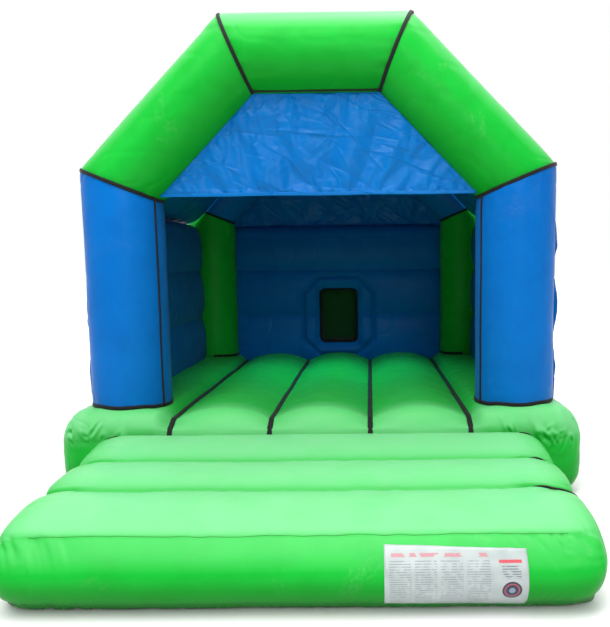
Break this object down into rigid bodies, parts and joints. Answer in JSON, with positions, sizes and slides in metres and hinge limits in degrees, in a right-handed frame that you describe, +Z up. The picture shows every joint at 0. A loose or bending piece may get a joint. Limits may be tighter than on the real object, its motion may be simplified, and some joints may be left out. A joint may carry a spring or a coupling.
{
  "type": "inflatable bounce house",
  "caption": "Inflatable bounce house: ribbed air bed with a front step, A-frame arches, padded walls, window and rain cover, ring anchors, inflation sleeve and deflation zip.",
  "frame": {"origin": "on the ground, in the middle of the inflated footprint of bed and step, without the inflation sleeve", "axes": "+X to the right when facing the entrance, +Y from the entrance to the back, +Z up"},
  "size_m": [3.3734, 5.0217, 3.0562],
  "materials": {
    "green_pvc": "PVC-coated polyester fabric, semi-gloss, fine woven scrim showing through, puckered along its seams",
    "blue_pvc": "PVC-coated polyester fabric, semi-gloss, fine woven scrim showing through, puckered along its seams",
    "blue_sheet": "thin PVC-coated sheet, creased and wrinkled, semi-gloss",
    "baffle_fabric": "uncoated side of woven polyester, matt",
    "black_tape": "woven polyester webbing and binding tape, matt, stitched along both edges",
    "green_patch": "double layer of welded PVC-coated fabric, semi-gloss",
    "net": "knitted polyester safety netting",
    "label": null,
    "zip_plastic": "moulded coil teeth",
    "zip_metal": "die-cast slider, dull nickel",
    "buckle_plastic": "moulded acetal ladder-lock buckle",
    "ring_steel": "zinc-plated welded steel wire, lightly scuffed"
  },
  "bodies": {
    "castle": {"bed_bay_outer_left": "green_pvc", "bed_bay_inner_left": "green_pvc", "bed_bay_centre": "green_pvc", "bed_bay_inner_right": "green_pvc", "bed_bay_outer_right": "green_pvc", "bed_baffles": "baffle_fabric", "bed_seam_strips": "black_tape", "step_skin": "green_pvc", "step_baffles": "baffle_fabric", "front_leg_left": "blue_pvc", "front_leg_right": "blue_pvc", "front_slope_left": "green_pvc", "front_slope_right": "green_pvc", "front_top_beam": "green_pvc", "front_joint_tapes": "black_tape", "leg_base_tapes": "black_tape", "leg_corner_piping": "black_tape", "top_beam_piping": "black_tape", "rear_column_left": "green_pvc", "rear_column_right": "green_pvc", "rear_slope_left": "blue_pvc", "rear_slope_right": "blue_pvc", "rear_top_beam": "blue_pvc", "rear_joint_tapes": "black_tape", "column_base_tapes": "black_tape", "side_wall_left": "blue_pvc", "side_wall_right": "blue_pvc", "side_wall_baffles": "baffle_fabric", "rear_wall": "blue_pvc", "rear_wall_baffles": "baffle_fabric", "window_net": "net", "window_binding": "black_tape", "front_gable_panel": "blue_sheet", "rear_gable_panel": "blue_sheet", "roof_cover": "blue_sheet", "roof_tie_straps": "black_tape", "roof_tie_patches": "blue_sheet", "info_label": "label", "inflation_sleeve": "green_pvc", "sleeve_strap": "black_tape", "sleeve_buckle": "buckle_plastic", "zip_tape": "black_tape", "zip_teeth": "zip_plastic", "zip_flap_cord": "black_tape", "anchor_patches": "green_patch", "anchor_webbing": "black_tape"},
    "d_ring_front_left": {"d_ring_front_left": "ring_steel"},
    "d_ring_front_right": {"d_ring_front_right": "ring_steel"},
    "d_ring_middle_left": {"d_ring_middle_left": "ring_steel"},
    "d_ring_middle_right": {"d_ring_middle_right": "ring_steel"},
    "d_ring_rear_left": {"d_ring_rear_left": "ring_steel"},
    "d_ring_rear_right": {"d_ring_rear_right": "ring_steel"},
    "zip_slider": {"zip_slider": "zip_metal"},
    "zip_flap": {"zip_flap": "green_pvc"}
  },
  "joints": [
    {"name": "d_ring_front_left_swing", "type": "hinge", "parent": "castle", "child": "d_ring_front_left", "pos_m": [-1.357, -1.5, 0.138], "axis": [0, 1, 0], "range_deg": [0, 150]},
    {"name": "d_ring_front_right_swing", "type": "hinge", "parent": "castle", "child": "d_ring_front_right", "pos_m": [1.357, -1.5, 0.138], "axis": [0, -1, 0], "range_deg": [0, 150]},
    {"name": "d_ring_middle_left_swing", "type": "hinge", "parent": "castle", "child": "d_ring_middle_left", "pos_m": [-1.679, -0.45, 0.178], "axis": [0, 1, 0], "range_deg": [0, 150]},
    {"name": "d_ring_middle_right_swing", "type": "hinge", "parent": "castle", "child": "d_ring_middle_right", "pos_m": [1.679, -0.45, 0.178], "axis": [0, -1, 0], "range_deg": [0, 150]},
    {"name": "d_ring_rear_left_swing", "type": "hinge", "parent": "castle", "child": "d_ring_rear_left", "pos_m": [-1.679, 1.85, 0.178], "axis": [0, 1, 0], "range_deg": [0, 150]},
    {"name": "d_ring_rear_right_swing", "type": "hinge", "parent": "castle", "child": "d_ring_rear_right", "pos_m": [1.679, 1.85, 0.178], "axis": [0, -1, 0], "range_deg": [0, 150]},
    {"name": "zip_slide", "type": "slide", "parent": "castle", "child": "zip_slider", "axis": [1, 0, 0], "range_m": [0, 0.43]},
    {"name": "zip_flap_lift", "type": "hinge", "parent": "castle", "child": "zip_flap", "pos_m": [0.635, 2.295, 0.3], "axis": [1, 0, 0], "range_deg": [0, 150]}
  ]
}
